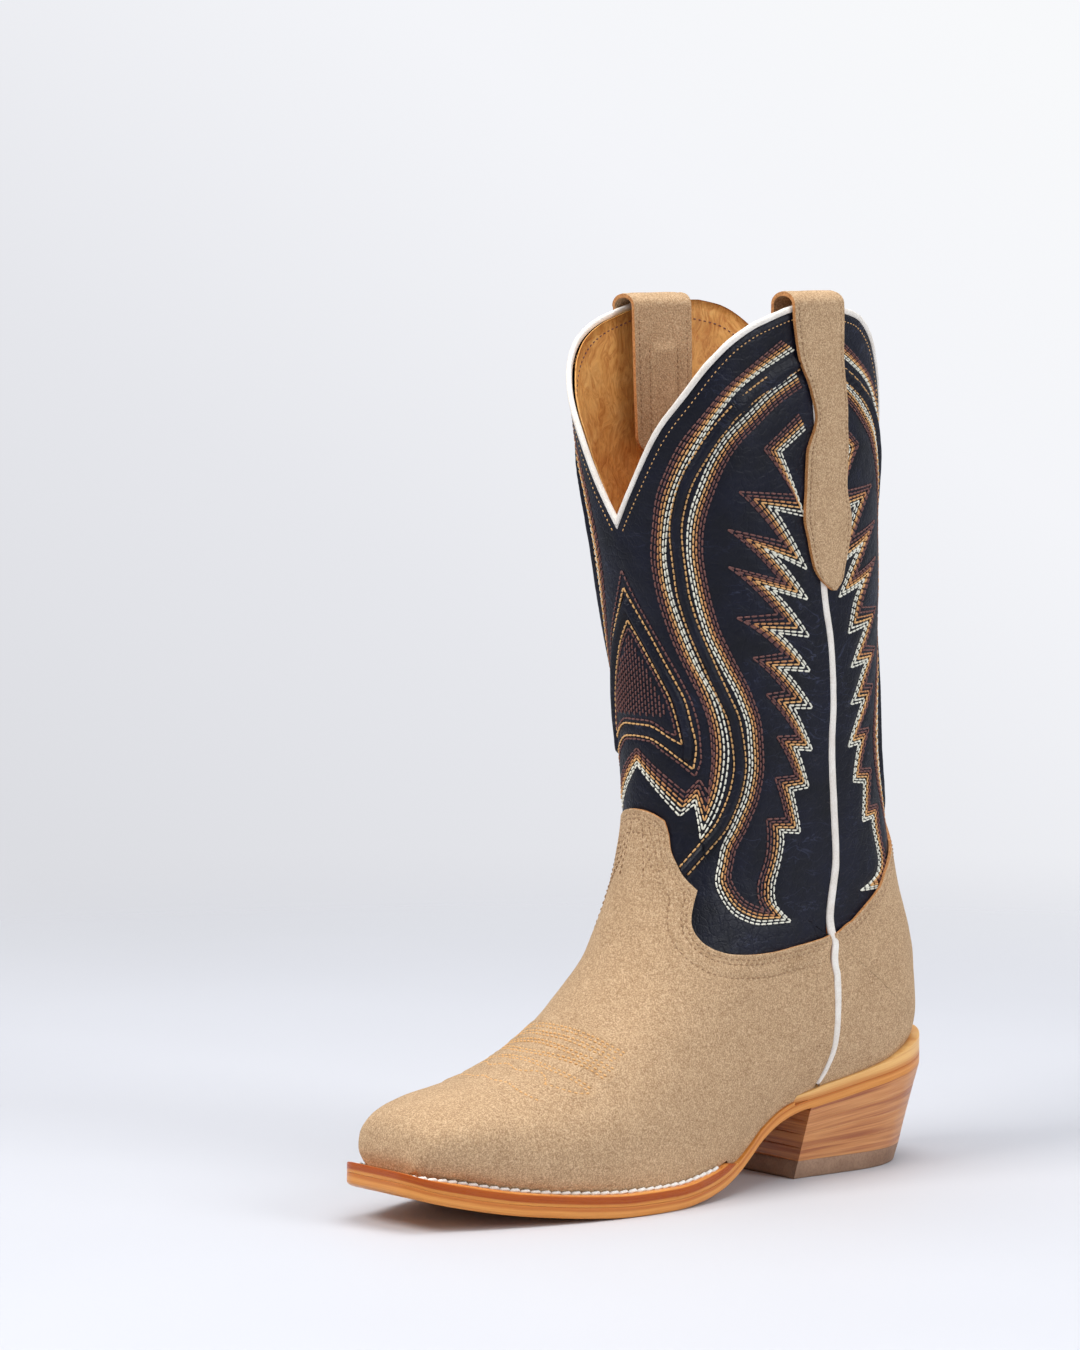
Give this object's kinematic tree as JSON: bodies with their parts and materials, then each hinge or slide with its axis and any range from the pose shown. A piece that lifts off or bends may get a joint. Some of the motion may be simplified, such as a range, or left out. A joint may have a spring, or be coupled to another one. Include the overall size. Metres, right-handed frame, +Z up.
{
  "type": "cowboy boot",
  "caption": "Left western boot with a suede vamp and counter, a scalloped embroidered leather shaft, pull straps, a welted leather sole and an underslung stacked heel.",
  "frame": {"origin": "middle of the bounding box's base, on the ground under the boot", "axes": "+Z up along the shaft, toe towards -Y and heel towards +Y, +X towards the outer (lateral) side of this left boot"},
  "size_m": [0.1095, 0.3014, 0.3892],
  "materials": {
    "suede": "napped suede, matte",
    "shaft_leather": "creased full grain, semi-gloss",
    "lining_leather": "unlined flesh side, matte",
    "piping_leather": "smooth, matte",
    "insole_board": "leather board, matte",
    "cork": "cork granulate",
    "steel": "plain",
    "welt_leather": "dyed edge, waxed",
    "sole_leather": "waxed edge",
    "heel_leather": "stacked lifts, waxed edge",
    "heel_rubber": "matte",
    "stiffener": "leather board, matte"
  },
  "bodies": {
    "root": {"vamp": "suede", "counter_cover": "suede", "front_shaft": "shaft_leather", "back_shaft": "shaft_leather", "front_shaft_lining": "lining_leather", "back_shaft_lining": "lining_leather", "vamp_lining": "lining_leather", "heel_lining": "lining_leather", "toe_box": "stiffener", "heel_stiffener": "stiffener", "side_piping_lateral": "piping_leather", "side_piping_medial": "piping_leather", "pull_strap_lateral": "suede", "pull_strap_medial": "suede", "front_top_binding": "piping_leather", "back_top_binding": "piping_leather", "outsole": "sole_leather", "welt": "welt_leather", "heel_rand": "welt_leather", "insole": "insole_board", "sock_liner": "lining_leather", "cork_filler": "cork", "shank": "steel", "heel_cap": "heel_rubber", "heel_lift_1": "heel_leather", "heel_lift_2": "heel_leather", "heel_lift_3": "heel_leather", "heel_lift_4": "heel_leather", "heel_nail_1": "steel", "heel_nail_2": "steel", "heel_nail_3": "steel", "heel_nail_4": "steel", "heel_nail_5": "steel"}
  },
  "joints": []
}
